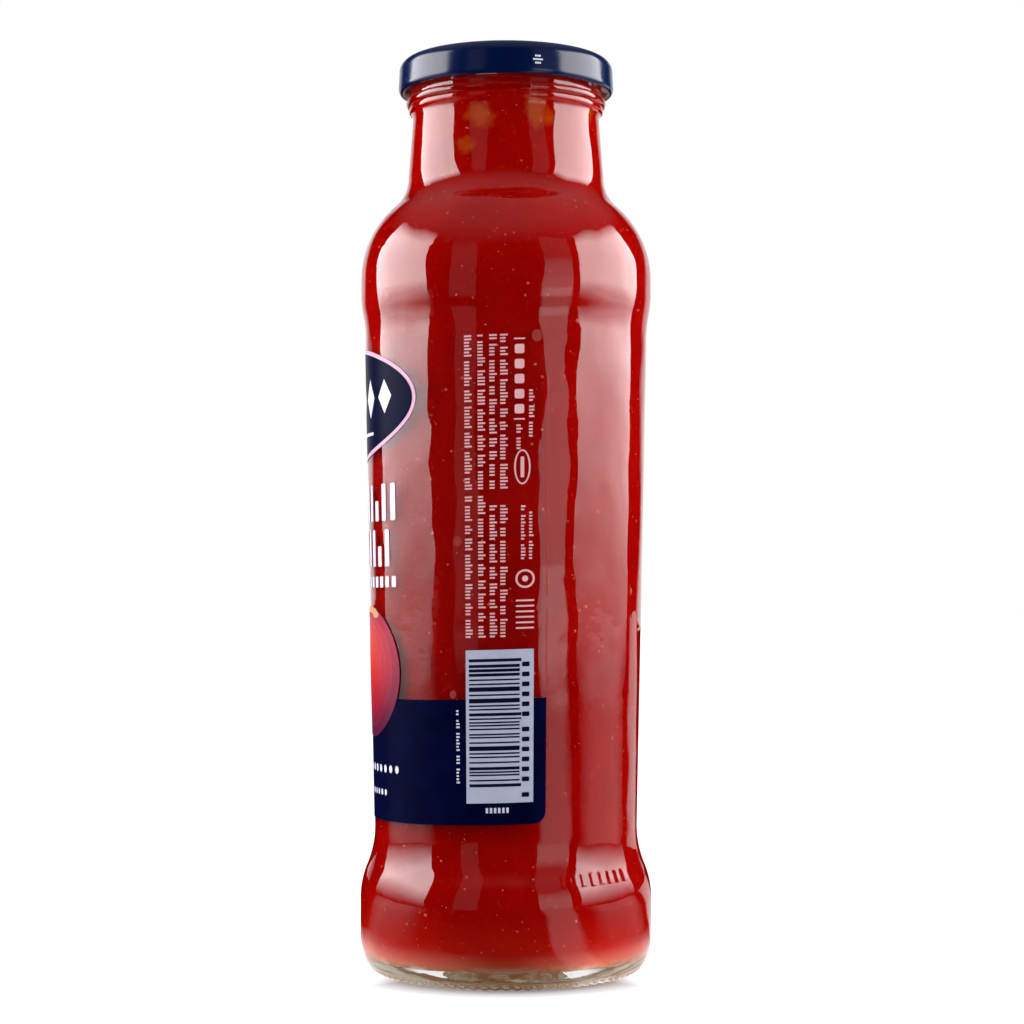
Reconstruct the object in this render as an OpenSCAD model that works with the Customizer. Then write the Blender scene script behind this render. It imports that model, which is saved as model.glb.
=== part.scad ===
// Glass passata bottle with a steel twist-off lid and a clear wrap label.
// It stands on z = 0, its axis is Z, and the middle of the label faces -Y.

/* [Glass body] */
// Widest radius of the heel band
heel_r = 37.85; // [34:0.05:44]
// Radius of the label panel at its foot
panel_bottom_r = 34.1; // [31:0.05:37]
// Radius of the label panel at its head
panel_top_r = 36.75; // [33:0.05:37.5]
// Widest radius of the shoulder band
shoulder_r = 37.95; // [37.8:0.05:46]
// Radius of the neck where it leaves the shoulder
neck_bottom_r = 25.6; // [25:0.05:28]
// Radius of the neck under the bead
neck_top_r = 24.4; // [24.2:0.05:25]
// Thickness of the side wall
wall = 2.5; // [1.5:0.05:3.2]

/* [Heights of the body, from the foot up] */
// Rounded corner of the heel
corner_h = 9.8; // [8:0.1:14]
// Straight heel band
heel_band_h = 8.5; // [4:0.1:20]
// Bend from the heel band in to the label panel
heel_step_h = 18.7; // [14:0.1:26]
// Tapered label panel
panel_h = 126.5; // [90:0.5:170]
// Bend from the label panel out to the shoulder band
shoulder_step_h = 12; // [8:0.1:18]
// Straight shoulder band
shoulder_band_h = 3.4; // [1:0.1:12]
// Shoulder, from its band in to the neck
shoulder_h = 27; // [23:0.1:36]
// Neck, up to the fillet under the bead
neck_h = 15; // [8:0.1:30]

/* [Base] */
// Outer radius of the ring that the bottle stands on
bearing_r = 33.8; // [30.5:0.05:33.9]
// Width of that ring
bearing_w = 2.6; // [1.5:0.1:5]
// Height of the hollow under the bottle
punt_h = 4.2; // [1:0.1:8]
// Thickness of the glass over that ring and over the hollow
base_t = 4.6; // [2.5:0.1:7]
// Height of the rounded corner inside the heel
inner_corner_h = 9; // [6:0.1:12]

/* [Mouth of the glass] */
// Radius of the bead under the lid
bead_r = 26.2; // [26.1:0.05:26.9]
// Height of the bead
bead_h = 2.4; // [1.6:0.1:3]
// Radius of the smaller lip under the bead
lip_r = 25.5; // [25.3:0.05:26.1]
// Height of that lip
lip_h = 1.6; // [1:0.1:2.4]
// Height of the fillet under the lip
lip_fillet_h = 1.9; // [1:0.1:4]
// Radius of the finish between the lugs
finish_r = 25.2; // [24.8:0.05:25.4]
// Height of the finish above the bead
finish_h = 9; // [8.7:0.1:14]
// Radius of the bore
bore_r = 22.1; // [20:0.05:22.4]
// Rounding of the rim
rim_round = 0.7; // [0.3:0.05:1.2]
// Number of lugs
lug_count = 4; // [3:1:6]
// How far a lug stands out
lug_out = 0.95; // [0.5:0.05:1]
// Height of a lug
lug_h = 1.4; // [0.8:0.1:1.8]
// Depth of the middle of a lug below the rim
lug_down = 5.6; // [4.8:0.1:6.2]
// Angle that a lug covers
lug_span = 48; // [20:1:55]
// Slope of a lug
lug_slope = 2.4; // [0:0.1:3]

/* [Filling] */
// Free height between the sauce and the rim
headspace = 3.5; // [3:0.1:30]
// Gap between the sauce and the glass
fill_gap = 0.04; // [0.02:0.01:0.2]

/* [Lid] */
// Radius of the lid at the top of its skirt
lid_r = 28; // [27.9:0.05:30]
// How much the skirt widens downwards
skirt_flare = 0.2; // [0:0.05:0.4]
// Width of the rounded top corner
lid_corner_w = 2.8; // [1:0.1:2.8]
// Height of the rounded top corner
lid_corner_h = 3; // [1:0.1:4]
// Thickness of the steel
steel_t = 0.25; // [0.2:0.01:0.35]
// Height of the lid, curl included
lid_h = 8.7; // [8.6:0.1:9.6]
// Height of the rolled curl
curl_h = 3.6; // [2.6:0.1:4]
// Width of the rolled curl
curl_w = 1.75; // [1.4:0.05:1.8]
// Radius of the sunk middle of the lid
disc_r = 20.6; // [17:0.1:21]
// Depth of the sunk middle
disc_depth = 1.1; // [0.5:0.1:1.6]
// Radius of the safety button
button_r = 9; // [6:0.1:12]
// Height of the safety button
button_h = 0.5; // [0.2:0.1:0.9]
// Angle that a lid lug covers
claw_span = 12; // [6:1:20]
// Thickness of a lid lug
claw_t = 0.7; // [0.4:0.05:0.9]

/* [Sealing ring] */
// Thickness of the ring
seal_t = 0.8; // [0.5:0.05:1.2]
// Gap between the ring and what it touches
seal_gap = 0.03; // [0.01:0.01:0.1]

/* [Label] */
// Angle that the label covers
label_span = 236; // [120:1:300]
// Height of the label
label_h = 122; // [60:0.5:124]
// Distance of the label above the foot of the panel
label_lift = 2.2; // [0:0.1:4]
// Thickness of the film
label_t = 0.12; // [0.08:0.01:0.3]
// Gap between the film and the glass
label_gap = 0.03; // [0.01:0.01:0.1]
// Rounding of the label's corners
label_corner_r = 3; // [1:0.1:8]
// How far the ends of the square-cut film climb on the tapered panel
label_climb = 1.6; // [0:0.1:2.4]

/* [Hidden] */
$fn = 144;

bend_steps = 9;                 // straight strips in one arc of a bend
corner_steps = 12;              // straight strips in a rounded corner
small_steps = 5;                // straight strips in a small rounding
overlap = 0.2;                  // how far joined shapes run into each other
past = 1;                       // how far cutting shapes run past a face

heel_bend_r = 22;               // first arc of the bend over the heel band
shoulder_foot_bend_r = 31;      // first arc of the bend under the shoulder band
shoulder_bend_r = 25;           // first arc of the shoulder
bend_share = 0.75;              // most of a bend that its first arc may take
roll_a = 60;                    // angle at which the lip and the bead meet
disc_step_r = 0.9;              // width of the step round the sunk middle
button_step_r = 1.2;            // width of the step round the button

heel_band_z = corner_h;
heel_step_z = heel_band_z + heel_band_h;
panel_z = heel_step_z + heel_step_h;
panel_top_z = panel_z + panel_h;
shoulder_band_z = panel_top_z + shoulder_step_h;
shoulder_z = shoulder_band_z + shoulder_band_h;
neck_z = shoulder_z + shoulder_h;
neck_top_z = neck_z + neck_h;
lip_z = neck_top_z + lip_fillet_h + lip_h / 2;
bead_z = lip_z + (lip_h + bead_h) / 2 * sin(roll_a);
bead_top_z = bead_z + bead_h / 2;
rim_z = bead_top_z + finish_h;
lid_top_z = rim_z + seal_t + 2 * seal_gap + steel_t;
fill_z = rim_z - headspace;

// An arc of an ellipse round a centre, from one angle to another.
function oval(centre, rx, rz, from, to, steps) = [
    for (i = [0 : steps])
        let (a = from + (to - from) * i / steps)
            centre + [rx * cos(a), rz * sin(a)]
];

// An S-bend up from a to b, upright at both ends, whose first arc has radius bend_r.
// On a wall's inner face that radius is larger by grow.
function s_bend(a, b, bend_r, grow) =
    let (
        out = sign(b.x - a.x),
        turn = 2 * atan(abs(b.x - a.x) / (b.y - a.y)),
        both_r = (b.y - a.y) / sin(turn),
        first_r = min(bend_r, bend_share * both_r) + grow,
        last_r = both_r - first_r
    )
    concat(
        [for (i = [0 : bend_steps])
            let (t = turn * i / bend_steps)
                a + [out * first_r * (1 - cos(t)), first_r * sin(t)]],
        [for (i = [bend_steps - 1 : -1 : 0])
            let (t = turn * i / bend_steps)
                b - [out * last_r * (1 - cos(t)), last_r * sin(t)]]
    );

// A shallow dome from the axis out to radius r, whose edge is at z.
function dome(r, z) = [
    for (i = [0 : corner_steps])
        let (share = i / corner_steps)
            [share * r, z + punt_h * (1 - share * share)]
];

// The side of the body from the heel band to the top of the neck, moved in by inset.
function side(inset) = concat(
    s_bend([heel_r - inset, heel_step_z], [panel_bottom_r - inset, panel_z],
           heel_bend_r, -inset),
    s_bend([panel_top_r - inset, panel_top_z], [shoulder_r - inset, shoulder_band_z],
           shoulder_foot_bend_r, inset),
    s_bend([shoulder_r - inset, shoulder_z], [neck_bottom_r - inset, neck_z],
           shoulder_bend_r, -inset)
);

function panel_r(z) =
    panel_bottom_r + (panel_top_r - panel_bottom_r) * (z - panel_z) / panel_h;

module ring_of(points) {
    rotate_extrude()
        polygon(points);
}

// Body, lip, bead and finish as one filled shape.
module glass_outside() {
    ring_of(concat(
        [[0, 0]],
        oval([bearing_r, corner_h], heel_r - bearing_r, corner_h, -90, 0, corner_steps),
        side(0),
        oval([finish_r, neck_top_z], neck_top_r - finish_r, lip_fillet_h, 0, 90, small_steps),
        oval([finish_r, lip_z], lip_r - finish_r, lip_h / 2, -90, roll_a, corner_steps),
        oval([finish_r, bead_z], bead_r - finish_r, bead_h / 2, -roll_a, 90, corner_steps),
        oval([finish_r - rim_round, rim_z - rim_round], rim_round, rim_round,
             0, 90, small_steps),
        [[0, rim_z]]
    ));
}

// The hollow inside, or what fills it when gap is more than nothing.
module inside(gap, top_z) {
    inset = wall + gap;
    floor_z = base_t + gap;
    inner_heel_r = heel_r - inset;
    inner_floor_r = bearing_r - bearing_w - inset;
    ring_of(concat(
        dome(inner_floor_r, floor_z),
        oval([inner_floor_r, floor_z + inner_corner_h], inner_heel_r - inner_floor_r,
             inner_corner_h, -90, 0, corner_steps),
        side(inset),
        [[bore_r - gap, neck_top_z], [bore_r - gap, top_z], [0, top_z]]
    ));
}

module punt() {
    punt_r = bearing_r - bearing_w;
    ring_of(concat(dome(punt_r, 0), [[punt_r, -past], [0, -past]]));
}

module glass_lug() {
    translate([0, 0, rim_z - lug_down])
        rotate([lug_slope, 0, 0])
            rotate([0, 0, -lug_span / 2])
                rotate_extrude(angle = lug_span)
                    translate([finish_r - lug_h / 2 + lug_out, 0])
                        intersection() {
                            circle(d = lug_h);
                            translate([lug_h / 2 - lug_out - overlap, -lug_h])
                                square([lug_h, 2 * lug_h]);
                        }
}

module glass() {
    color([0.86, 0.93, 0.9, 0.35])
        difference() {
            union() {
                glass_outside();
                for (i = [0 : lug_count - 1])
                    rotate([0, 0, 360 * i / lug_count])
                        glass_lug();
            }
            inside(0, rim_z + past);
            punt();
        }
}

module passata() {
    color([0.58, 0.05, 0.03])
        inside(fill_gap, fill_z);
}

// The pressed steel, from the middle of the lid out to the top of the curl, moved in by inset.
function pressing(inset) =
    let (
        disc_z = lid_top_z - disc_depth,
        button_z = disc_z + button_h,
        curl_z = lid_top_z - lid_h + curl_h / 2
    )
    concat(
        [[0, button_z - inset]],
        [[button_r - button_step_r, button_z - inset], [button_r, disc_z - inset]],
        [[disc_r, disc_z - inset], [disc_r + disc_step_r, lid_top_z - inset]],
        oval([lid_r - lid_corner_w, lid_top_z - lid_corner_h], lid_corner_w - inset,
             lid_corner_h - inset, 90, 0, small_steps),
        [[lid_r + skirt_flare - inset, curl_z]]
    );

module curl() {
    curl_r = lid_r + skirt_flare + overlap - curl_w / 2;
    ring_of(oval([curl_r, lid_top_z - lid_h + curl_h / 2], curl_w / 2, curl_h / 2,
                 0, 360 - 360 / (4 * corner_steps), 4 * corner_steps - 1));
}

// One of the lid's own lugs, which the closed lid hooks under a lug of the glass.
module claw() {
    claw_in_r = finish_r + 2 * overlap;
    claw_out_r = lid_r + skirt_flare - curl_w / 2;
    claw_z = lid_top_z - lid_h + overlap;
    rotate([0, 0, -claw_span / 2])
        rotate_extrude(angle = claw_span)
            translate([claw_in_r, claw_z])
                square([claw_out_r - claw_in_r, claw_t]);
}

module lid() {
    outer = pressing(0);
    inner = pressing(steel_t);
    color([0.03, 0.09, 0.24])
        union() {
            ring_of(concat(outer, [for (i = [len(inner) - 1 : -1 : 0]) inner[i]]));
            curl();
            for (i = [0 : lug_count - 1])
                rotate([0, 0, 360 * i / lug_count])
                    claw();
        }
}

module seal() {
    seal_in_r = bore_r + overlap;
    color([0.86, 0.85, 0.8])
        translate([0, 0, rim_z + seal_gap])
            rotate_extrude()
                translate([seal_in_r, 0])
                    square([finish_r - seal_in_r, seal_t]);
}

// Height of the film's lower edge at a depth y: square-cut film climbs round a tapered panel.
function label_foot_z(y) =
    panel_z + label_lift
    + label_climb * (y + panel_bottom_r) / (panel_bottom_r * (1 - cos(label_span / 2)));

// Everything between the film's lower and upper edges.
module label_height() {
    reach = panel_top_r + past;
    translate([-reach, 0, 0])
        rotate([90, 0, 90])
            linear_extrude(height = 2 * reach)
                polygon([
                    [-reach, label_foot_z(-reach)],
                    [reach, label_foot_z(reach)],
                    [reach, label_foot_z(reach) + label_h],
                    [-reach, label_foot_z(-reach) + label_h]
                ]);
}

// What is cut from one corner of the film: end is 1 or -1, and so is up.
module corner_cut(end, up) {
    reach = panel_top_r + past;
    end_y = -panel_bottom_r * cos(label_span / 2);
    corner_z = label_foot_z(end_y) + (up > 0 ? label_h : 0);
    block = label_corner_r + past;
    rotate([0, 0, end * label_span / 2])
        translate([-end * label_corner_r, 0, corner_z - up * label_corner_r])
            difference() {
                translate([(end - 1) / 2 * block, -reach, (up - 1) / 2 * block])
                    cube([block, reach, block]);
                translate([0, past, 0])
                    rotate([90, 0, 0])
                        cylinder(r = label_corner_r, h = reach + 2 * past);
            }
}

module label() {
    inner = label_gap;
    outer = label_gap + label_t;
    color([0.16, 0.2, 0.42])
        difference() {
            intersection() {
                rotate([0, 0, -90 - label_span / 2])
                    rotate_extrude(angle = label_span)
                        polygon([
                            [panel_bottom_r + inner, panel_z],
                            [panel_bottom_r + outer, panel_z],
                            [panel_top_r + outer, panel_top_z],
                            [panel_top_r + inner, panel_top_z]
                        ]);
                label_height();
            }
            for (end = [-1, 1], up = [-1, 1])
                corner_cut(end, up);
        }
}

glass();
passata();
lid();
seal();
label();
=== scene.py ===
import math
import random

import bmesh
import bpy
from mathutils import Matrix, Vector


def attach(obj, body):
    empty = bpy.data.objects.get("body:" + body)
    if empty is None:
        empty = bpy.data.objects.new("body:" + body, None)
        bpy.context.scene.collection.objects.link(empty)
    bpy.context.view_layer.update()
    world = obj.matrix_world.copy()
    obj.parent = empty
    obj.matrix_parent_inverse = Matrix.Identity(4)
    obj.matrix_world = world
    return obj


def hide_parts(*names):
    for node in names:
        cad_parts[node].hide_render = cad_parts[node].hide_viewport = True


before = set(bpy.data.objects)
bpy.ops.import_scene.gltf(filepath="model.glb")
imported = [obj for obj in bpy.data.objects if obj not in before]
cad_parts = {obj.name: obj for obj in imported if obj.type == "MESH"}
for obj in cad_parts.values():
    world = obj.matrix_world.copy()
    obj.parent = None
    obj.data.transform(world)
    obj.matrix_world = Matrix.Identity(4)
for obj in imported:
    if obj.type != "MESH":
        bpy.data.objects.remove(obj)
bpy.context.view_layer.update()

mm = 0.001  # everything is modelled in millimetres and scaled once, in makePiece
fullTurn = 2 * math.pi


# Shader helpers: sums on numbers are written as Python, any other node comes from NodeTree.node

def setSocket(tree, socket, value):
    if isinstance(value, Value):
        tree.links.new(value.socket, socket)
    else:
        socket.default_value = value


class Value:
    def __init__(self, tree, socket):
        self.tree = tree
        self.socket = socket

    def math(self, operation, *items, clamp=False):
        node = self.tree.nodes.new("ShaderNodeMath")
        node.operation = operation
        node.use_clamp = clamp
        for socket, item in zip(node.inputs, items):
            setSocket(self.tree, socket, item)
        return Value(self.tree, node.outputs[0])

    def __add__(self, other):
        return self.math("ADD", self, other)

    def __radd__(self, other):
        return self.math("ADD", other, self)

    def __sub__(self, other):
        return self.math("SUBTRACT", self, other)

    def __rsub__(self, other):
        return self.math("SUBTRACT", other, self)

    def __mul__(self, other):
        return self.math("MULTIPLY", self, other)

    def __rmul__(self, other):
        return self.math("MULTIPLY", other, self)

    def __truediv__(self, other):
        return self.math("DIVIDE", self, other)

    def __pow__(self, other):
        return self.math("POWER", self, other)

    def step(self, low, high):  # 0 below low, 1 above high, straight between
        return self.math("DIVIDE", self - low, high - low, clamp=True)


class NodeTree:
    def __init__(self, owner, outputKind):
        owner.use_nodes = True
        self.owner = owner
        self.tree = owner.node_tree
        self.tree.nodes.clear()
        self.output = self.tree.nodes.new("ShaderNodeOutput" + outputKind)

    def node(self, kind, settings=None, values=None, out=0):
        node = self.tree.nodes.new("ShaderNode" + kind)
        for name, setting in (settings or {}).items():
            setattr(node, name, setting)
        for name, value in (values or {}).items():
            setSocket(self.tree, node.inputs[name], value)
        return Value(self.tree, node.outputs[out])

    def show(self, shader):
        self.tree.links.new(shader.socket, self.output.inputs["Surface"])
        return self.owner


class Surface(NodeTree):
    def __init__(self, name):
        super().__init__(bpy.data.materials.new(name), "Material")
        self.place = self.node("TexCoord", out="Object")

    def noise(self, scale, detail=3, rough=0.5, stretch=None, out=0):
        where = self.place
        if stretch:
            where = self.node("Mapping", values={"Vector": where, "Scale": stretch})
        return self.node("TexNoise", values={
            "Vector": where, "Scale": scale, "Detail": detail, "Roughness": rough}, out=out)

    def mix(self, factor, first, second):
        return self.node("Mix", {"data_type": "RGBA"}, {0: factor, 6: first, 7: second}, out=2)

    def axis(self, letter):
        return self.node("SeparateXYZ", values={"Vector": self.place}, out=letter)

    def bump(self, height, strength, distance):
        return self.node("Bump", values={
            "Height": height, "Strength": strength, "Distance": distance})

    def principled(self, **values):
        names = {name.replace("_", " "): value for name, value in values.items()}
        return self.node("BsdfPrincipled", values=names)


def srgb(red, green, blue):  # a colour as picked on screen, 0 to 255
    return tuple(
        part / 12.92 if part <= 0.04045 else ((part + 0.055) / 1.055) ** 2.4
        for part in (red / 255, green / 255, blue / 255)
    ) + (1,)


# Shape helpers, in millimetres

def outFrom(degrees, distance, z):  # a place at that angle from the label's middle
    angle = math.radians(degrees)
    return Vector((math.sin(angle) * distance, -math.cos(angle) * distance, z))


def oval(centre, acrossRadius, upRadius, start, end, steps):
    points = []
    for i in range(steps + 1):
        angle = math.radians(start + (end - start) * i / steps)
        points.append((centre[0] + acrossRadius * math.cos(angle),
                       centre[1] + upRadius * math.sin(angle)))
    return points


def sBend(low, high, firstRadius, steps):  # upright at both ends
    out = 1 if high[0] > low[0] else -1
    rise = high[1] - low[1]
    turn = 2 * math.atan(abs(high[0] - low[0]) / rise)
    lastRadius = rise / math.sin(turn) - firstRadius
    points = []
    for i in range(steps + 1):
        angle = turn * i / steps
        points.append((low[0] + out * firstRadius * (1 - math.cos(angle)),
                       low[1] + firstRadius * math.sin(angle)))
    for i in range(steps - 1, -1, -1):
        angle = turn * i / steps
        points.append((high[0] - out * lastRadius * (1 - math.cos(angle)),
                       high[1] - lastRadius * math.sin(angle)))
    return points


def lathe(outline, turns, bm=None, loop=False):
    bm = bm or bmesh.new()
    verts = [bm.verts.new((r, 0, z)) for r, z in outline]
    pairs = list(zip(verts, verts[1:])) + ([(verts[-1], verts[0])] if loop else [])
    edges = [bm.edges.new(pair) for pair in pairs]
    bmesh.ops.spin(bm, geom=verts + edges, cent=(0, 0, 0), axis=(0, 0, 1), angle=fullTurn,
                   steps=turns, use_merge=True)
    bmesh.ops.remove_doubles(bm, verts=bm.verts, dist=1e-4)
    bmesh.ops.recalc_face_normals(bm, faces=bm.faces)
    return bm


def makePiece(name, bm, materials, replaces=(), sharpAngle=None):
    bmesh.ops.scale(bm, vec=(mm, mm, mm), verts=bm.verts)
    mesh = bpy.data.meshes.new(name)
    bm.to_mesh(mesh)
    bm.free()
    for polygon in mesh.polygons:
        polygon.use_smooth = True
    if sharpAngle:
        mesh.set_sharp_from_angle(angle=math.radians(sharpAngle))
    for material in materials:
        mesh.materials.append(material)
    piece = bpy.data.objects.new(name, mesh)
    bpy.context.collection.objects.link(piece)
    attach(piece, "root")
    if replaces:
        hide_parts(*replaces)
    return piece


# The bottle's own measures, from its foot up

bottle = {
    "heelRadius": 37.85, "panelFootRadius": 34.1, "panelHeadRadius": 36.75,
    "shoulderRadius": 37.95, "neckFootRadius": 25.6, "neckHeadRadius": 24.4,
    "cornerHeight": 9.8, "heelBandHeight": 8.5, "heelStepHeight": 18.7,
    "panelHeight": 126.5, "shoulderStepHeight": 12, "shoulderBandHeight": 3.4,
    "shoulderHeight": 27, "neckHeight": 15,
    "heelBend": 22, "shoulderFootBend": 31, "shoulderBend": 25,
    "bearingRadius": 33.8, "bearingWidth": 2.6, "puntHeight": 4.2, "baseThickness": 4.6,
    "innerCornerHeight": 9, "wall": 2.5,
    "beadRadius": 26.2, "beadHeight": 2.4, "lipRadius": 25.5, "lipHeight": 1.6,
    "lipFilletHeight": 1.9, "rollAngle": 60,
    "finishRadius": 25.2, "finishHeight": 9, "boreRadius": 22.1, "rimRound": 0.7,
    "turns": 320, "bendSteps": 14,
}
heelStepZ = bottle["cornerHeight"] + bottle["heelBandHeight"]
panelZ = heelStepZ + bottle["heelStepHeight"]
panelTopZ = panelZ + bottle["panelHeight"]
shoulderBandZ = panelTopZ + bottle["shoulderStepHeight"]
shoulderZ = shoulderBandZ + bottle["shoulderBandHeight"]
neckZ = shoulderZ + bottle["shoulderHeight"]
neckTopZ = neckZ + bottle["neckHeight"]
lipZ = neckTopZ + bottle["lipFilletHeight"] + bottle["lipHeight"] / 2
beadZ = lipZ + ((bottle["lipHeight"] + bottle["beadHeight"]) / 2
                * math.sin(math.radians(bottle["rollAngle"])))
beadTopZ = beadZ + bottle["beadHeight"] / 2
rimZ = beadTopZ + bottle["finishHeight"]
floorZ = bottle["baseThickness"]
floorRadius = bottle["bearingRadius"] - bottle["bearingWidth"] - bottle["wall"]


def panelRadius(z):
    share = (z - panelZ) / bottle["panelHeight"]
    return bottle["panelFootRadius"] + share * (bottle["panelHeadRadius"] - bottle["panelFootRadius"])


def sideOutline(inset):
    b = bottle
    steps = b["bendSteps"]
    return (
        sBend((b["heelRadius"] - inset, heelStepZ), (b["panelFootRadius"] - inset, panelZ),
              b["heelBend"] - inset, steps)
        + sBend((b["panelHeadRadius"] - inset, panelTopZ),
                (b["shoulderRadius"] - inset, shoulderBandZ), b["shoulderFootBend"] + inset, steps)
        + sBend((b["shoulderRadius"] - inset, shoulderZ), (b["neckFootRadius"] - inset, neckZ),
                b["shoulderBend"] - inset, steps)
    )


def dome(radius, z):  # the shallow rise over and under the base, from the axis outwards
    shares = [i / 16 for i in range(17)]
    return [(share * radius, z + bottle["puntHeight"] * (1 - share ** 2)) for share in shares]


def insideOutline(inset, floor, bore, topZ):  # from the middle of the floor up to the mouth
    b = bottle
    innerRadius = b["heelRadius"] - inset
    corner = oval((floorRadius, floor + b["innerCornerHeight"]), innerRadius - floorRadius,
                  b["innerCornerHeight"], -90, 0, 16)
    return (dome(floorRadius, floor) + corner[1:] + sideOutline(inset)
            + [(bore, neckTopZ), (bore, topZ)])


# Glass

glassLook = {"tint": (0.985, 0.995, 0.99, 1), "foot": (0.93, 0.92, 0.88, 1), "footHeight": 6,
             "shade": (0.93, 0.95, 0.94, 1), "ior": 1.5, "waveSize": 46, "waveDepth": 0.0011,
             "rippleSize": 260, "rippleShare": 0.03}


def glassMaterial():
    s = Surface("clearGlass")
    slow = s.noise(glassLook["waveSize"], detail=2, stretch=(1, 1, 0.55))
    fine = s.noise(glassLook["rippleSize"], detail=2)
    waves = s.bump(slow + fine * glassLook["rippleShare"], 1.0, glassLook["waveDepth"])
    low = 1 - s.axis("Z").step(0, glassLook["footHeight"] * mm)
    tint = s.mix(low, glassLook["tint"], glassLook["foot"])
    glass = s.principled(Base_Color=tint, Roughness=0.0, IOR=glassLook["ior"],
                         Transmission_Weight=1.0, Normal=waves)
    clear = s.node("BsdfTransparent", values={"Color": glassLook["shade"]})
    lamp = s.node("LightPath", out="Is Shadow Ray")
    return s.show(s.node("MixShader", values={0: lamp, 1: glass, 2: clear}))


lugs = {"count": 4, "out": 0.95, "height": 1.4, "down": 5.6, "span": 48, "slope": 0.042}
knurl = {"ridges": 80, "lift": 0.36, "cut": 0.225, "top": 1.7, "slant": 0.3, "fade": 3, "inner": 0.4}
marks = {"start": 123, "bars": (4, 4.6, 3.4, 4.6, 4, 3.4, 4, 4.6), "gap": 4, "wide": 2, "lowZ": 25.2,
         "leastRadius": 35.6, "slope": 0.25, "out": 0.6}


def raiseLugs(bm):
    reach = math.radians(lugs["span"] / 2)
    for v in bm.verts:
        radius = math.hypot(v.co.x, v.co.y)
        if v.co.z < beadTopZ or radius < bottle["finishRadius"] - 0.05:
            continue
        sector = fullTurn / lugs["count"]
        angle = (math.atan2(v.co.y, v.co.x) + sector / 2) % sector - sector / 2
        middle = rimZ - lugs["down"] + lugs["slope"] * radius * math.sin(angle)
        across = abs(v.co.z - middle) / (lugs["height"] / 2 + 0.3)
        along = abs(angle) / reach
        if across < 1 and along < 1:
            rise = lugs["out"] * (1 - across ** 4) * (1 - along ** 8)
            v.co.x *= 1 + rise / radius
            v.co.y *= 1 + rise / radius


def cutKnurl(bm):  # slanted grooves round the ring that the bottle stands on
    for v in bm.verts:
        radius = math.hypot(v.co.x, v.co.y)
        inner = bottle["bearingRadius"] - bottle["bearingWidth"] + knurl["inner"]
        if v.co.z > knurl["top"] or radius < inner:
            continue
        turn = math.atan2(v.co.y, v.co.x) / fullTurn * knurl["ridges"] + v.co.z * knurl["slant"]
        groove = 0.5 + 0.5 * math.cos(turn * fullTurn)
        depth = groove * min(1, knurl["fade"] * (1 - v.co.z / knurl["top"]))
        v.co.z += knurl["lift"] * depth
        v.co.x *= 1 - knurl["cut"] * depth / radius
        v.co.y *= 1 - knurl["cut"] * depth / radius


def raiseMarks(bm):  # a row of plain raised bars on the heel, as a mould leaves
    cell = 360 / bottle["turns"]
    lift = []
    for face in bm.faces:
        middle = face.calc_center_median()
        height = middle.z - marks["lowZ"]
        if not 0 < height < max(marks["bars"]) or middle.xy.length < marks["leastRadius"]:
            continue
        angle = math.degrees(math.atan2(middle.x, -middle.y)) % 360
        index, place = divmod(math.floor((angle - marks["start"]) / cell), marks["gap"])
        if 0 <= index < len(marks["bars"]) and place < marks["wide"] and height < marks["bars"][index]:
            lift.append(face)
    bmesh.ops.inset_region(bm, faces=lift, thickness=marks["slope"], depth=marks["out"])


def makeGlass():
    b = bottle
    outline = (
        dome(b["bearingRadius"] - b["bearingWidth"], 0)
        + oval((b["bearingRadius"], b["cornerHeight"]), b["heelRadius"] - b["bearingRadius"],
               b["cornerHeight"], -90, 0, 24)
        + sideOutline(0)
        + oval((b["finishRadius"], neckTopZ), b["neckHeadRadius"] - b["finishRadius"],
               b["lipFilletHeight"], 0, 90, 8)
        + oval((b["finishRadius"], lipZ), b["lipRadius"] - b["finishRadius"],
               b["lipHeight"] / 2, -80, b["rollAngle"], 12)
        + oval((b["finishRadius"], beadZ), b["beadRadius"] - b["finishRadius"],
               b["beadHeight"] / 2, -b["rollAngle"], 90, 14)
        + [(b["finishRadius"], beadTopZ + b["finishHeight"] * i / 16) for i in range(1, 15)]
        + oval((b["finishRadius"] - b["rimRound"], rimZ - b["rimRound"]), b["rimRound"],
               b["rimRound"], 0, 90, 6)
        + oval((b["boreRadius"] + b["rimRound"], rimZ - b["rimRound"]), b["rimRound"],
               b["rimRound"], 90, 180, 6)
        + list(reversed(insideOutline(b["wall"], floorZ, b["boreRadius"], rimZ - 2)))
    )
    bm = lathe(outline, b["turns"])
    raiseLugs(bm)
    cutKnurl(bm)
    raiseMarks(bm)
    return makePiece("glassBottle", bm, [glassMaterial()], ["glass"], sharpAngle=40)


makeGlass()
print("glass done")


# Passata: it reaches just into the wall, so that no air shows between them

sauce = {"intoWall": 0.12, "headspace": 3.5, "turns": 256}
sauceLook = {
    "deep": (0.345, 0.0002, 0.0002, 1), "bright": (0.48, 0.004, 0.0015, 1),
    # painted light: low is a lighter red for the lower sauce, standing in for light that comes in
    # through the base
    "low": (0.62, 0.016, 0.007, 1), "baseLightHeight": 17,
    # painted light: foot is an amber glow at the very bottom of the sauce, standing in for light that
    # comes up through the glass base
    "amber": (0.62, 0.13, 0.008, 1), "foot": (0.66, 0.17, 0.07, 1), "footHeight": 4.5,
    # painted light: under and underPale make the underside of the sauce brown with pale streaks,
    # standing in for the lit floor seen through the base
    "under": (0.36, 0.16, 0.065, 1), "underPale": (0.62, 0.57, 0.44, 1), "underTop": 9,
    "patches": ((86, 218.7, 4.2), (74.4, 211.7, 2.6), (121.4, 218.6, 4)),
    "cloudSize": 70, "grainSize": 900, "tearSize": 260, "bentSize": 110,
}


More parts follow.
